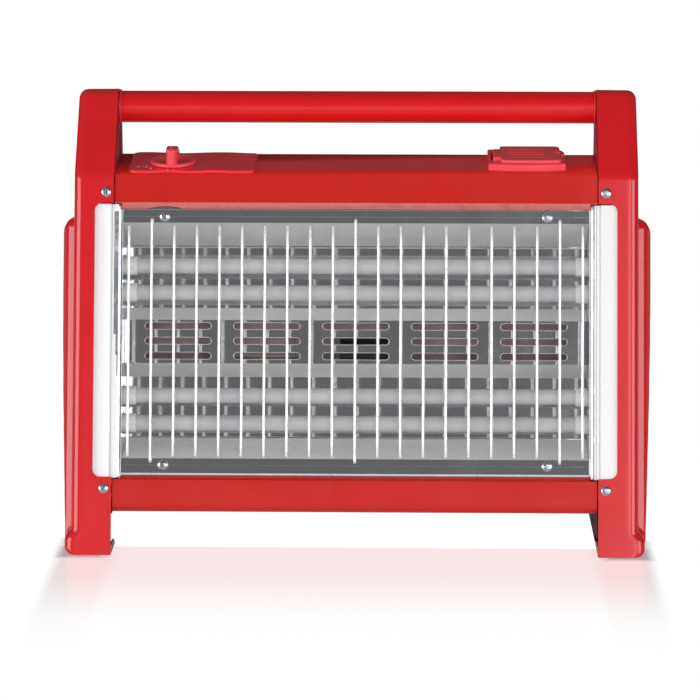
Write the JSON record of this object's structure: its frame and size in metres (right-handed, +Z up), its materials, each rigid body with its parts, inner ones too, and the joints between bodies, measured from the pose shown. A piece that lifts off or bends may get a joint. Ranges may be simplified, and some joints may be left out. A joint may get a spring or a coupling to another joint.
{
  "type": "electric bar heater",
  "caption": "Portable quartz bar heater: leaning casing between two side panels, mirror reflector, wire guard, carry tube, rotary power selector and hinged humidifier filler lid.",
  "frame": {"origin": "centre of the bounding box at the floor, between the side panels' feet", "axes": "+Z up; the guard and reflector face -Y; +X to the right seen from the front"},
  "size_m": [0.462, 0.15, 0.3468],
  "materials": {
    "panel_gloss": "high gloss moulded",
    "frame_paint": "satin paint",
    "casing_paint": "smooth satin powder coat",
    "handle_paint": "gloss paint",
    "reflector_polish": "polished sheet",
    "white_enamel": "gloss enamel",
    "guard_wire": "bright plated",
    "quartz": "milky quartz",
    "coil_wire": "oxidised resistance wire",
    "ceramic": "unglazed",
    "zinc_steel": "bright zinc plated",
    "brass": "plain",
    "control_plastic": "semi-gloss moulded",
    "black_plastic": "moulded",
    "dark_plastic": "moulded",
    "pale_plastic": "moulded",
    "tank_plastic": "moulded",
    "wire_insulation": "silicone sleeve"
  },
  "bodies": {
    "heater": {"side_panel_left": "panel_gloss", "side_panel_right": "panel_gloss", "end_frame_left": "frame_paint", "end_frame_right": "frame_paint", "casing_top": "casing_paint", "casing_bottom": "casing_paint", "rear_cover": "casing_paint", "reflector": "reflector_polish", "reflector_cheek_left": "reflector_polish", "reflector_cheek_right": "reflector_polish", "side_plate_left": "white_enamel", "side_plate_right": "white_enamel", "guard_uprights": "guard_wire", "guard_cross_wires": "guard_wire", "quartz_tube_1": "quartz", "quartz_tube_2": "quartz", "quartz_tube_3": "quartz", "quartz_tube_4": "quartz", "heating_coil_1": "coil_wire", "heating_coil_2": "coil_wire", "heating_coil_3": "coil_wire", "heating_coil_4": "coil_wire", "ceramic_caps_left": "ceramic", "ceramic_caps_right": "ceramic", "lamp_bracket_left": "zinc_steel", "lamp_bracket_right": "zinc_steel", "lamp_terminals_left": "brass", "lamp_terminals_right": "brass", "handle_tube": "handle_paint", "handle_plug_left": "control_plastic", "handle_plug_right": "control_plastic", "handle_screws": "zinc_steel", "control_plate": "control_plastic", "switch_body": "black_plastic", "lid_base": "control_plastic", "lid_hinge_pin": "zinc_steel", "water_tank": "tank_plastic", "tilt_switch": "dark_plastic", "thermal_cutout": "zinc_steel", "terminal_block": "pale_plastic", "wiring_supply": "wire_insulation", "wiring_lamps": "wire_insulation", "cable_gland": "black_plastic", "flange_screws": "zinc_steel", "panel_screws": "zinc_steel", "rear_screws": "zinc_steel"},
    "selector": {"selector_knob": "control_plastic", "switch_spindle": "pale_plastic"},
    "filler_lid": {"lid_flap": "control_plastic"}
  },
  "joints": [
    {"name": "selector_turn", "type": "hinge", "parent": "heater", "child": "selector", "pos_m": [-0.1442, 0.02791, 0.28949], "axis": [0, -0.1256, 0.9921], "range_deg": [-180, 0]},
    {"name": "lid_hinge", "type": "hinge", "parent": "heater", "child": "filler_lid", "pos_m": [0.1086, 0.03743, 0.29392], "axis": [0, -0.9921, -0.1256], "range_deg": [0, 21]}
  ]
}
